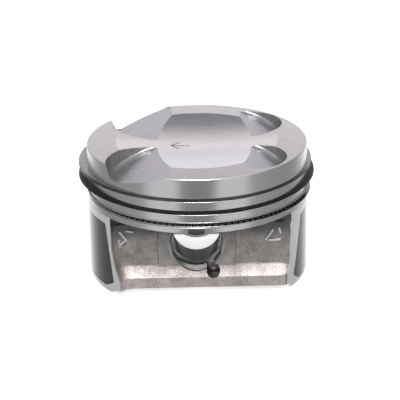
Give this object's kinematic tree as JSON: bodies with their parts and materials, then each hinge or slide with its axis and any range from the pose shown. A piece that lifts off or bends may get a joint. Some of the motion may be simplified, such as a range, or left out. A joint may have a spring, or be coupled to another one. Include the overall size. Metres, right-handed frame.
{
  "type": "engine piston with ring set",
  "caption": "Petrol engine piston with dished crown, valve pockets, coated skirts, open wrist pin bosses and a fitted set of compression and oil rings.",
  "frame": {"origin": "centre of the crown dish's floor, on the piston axis", "axes": "+Z along the piston axis out of the crown, +Y along the wrist pin axis, +X towards the exhaust valve pockets; the intake valve pockets and the wider skirt are at -X"},
  "size_m": [0.0886, 0.0858, 0.0506],
  "materials": {
    "body": "cast aluminium alloy, turned and milled on the crown, lands and skirts, as cast on the walls",
    "top_ring": "nitrided steel, dark outer face",
    "second_ring": "phosphated black cast iron",
    "rail": "chromed steel rail",
    "expander": "dark stamped steel",
    "coating": "screen printed graphite and resin, satin"
  },
  "bodies": {
    "piston": {"piston_body": "body", "intake_side_coating": "coating", "exhaust_side_coating": "coating"},
    "top_ring": {"top_compression_ring": "top_ring"},
    "second_ring": {"second_compression_ring": "second_ring"},
    "upper_rail": {"oil_ring_upper_rail": "rail"},
    "expander": {"oil_ring_expander": "expander"},
    "lower_rail": {"oil_ring_lower_rail": "rail"}
  },
  "joints": [
    {"name": "top_ring_turn", "type": "hinge", "parent": "piston", "child": "top_ring", "pos_m": [0, 0, -0.00617], "axis": [0, 0, 1], "continuous": true},
    {"name": "second_ring_turn", "type": "hinge", "parent": "piston", "child": "second_ring", "pos_m": [0, 0, -0.01092], "axis": [0, 0, 1], "continuous": true},
    {"name": "upper_rail_turn", "type": "hinge", "parent": "piston", "child": "upper_rail", "pos_m": [0, 0, -0.01473], "axis": [0, 0, 1], "continuous": true},
    {"name": "expander_turn", "type": "hinge", "parent": "piston", "child": "expander", "pos_m": [0, 0, -0.01553], "axis": [0, 0, 1], "continuous": true},
    {"name": "lower_rail_turn", "type": "hinge", "parent": "piston", "child": "lower_rail", "pos_m": [0, 0, -0.01633], "axis": [0, 0, 1], "continuous": true}
  ]
}
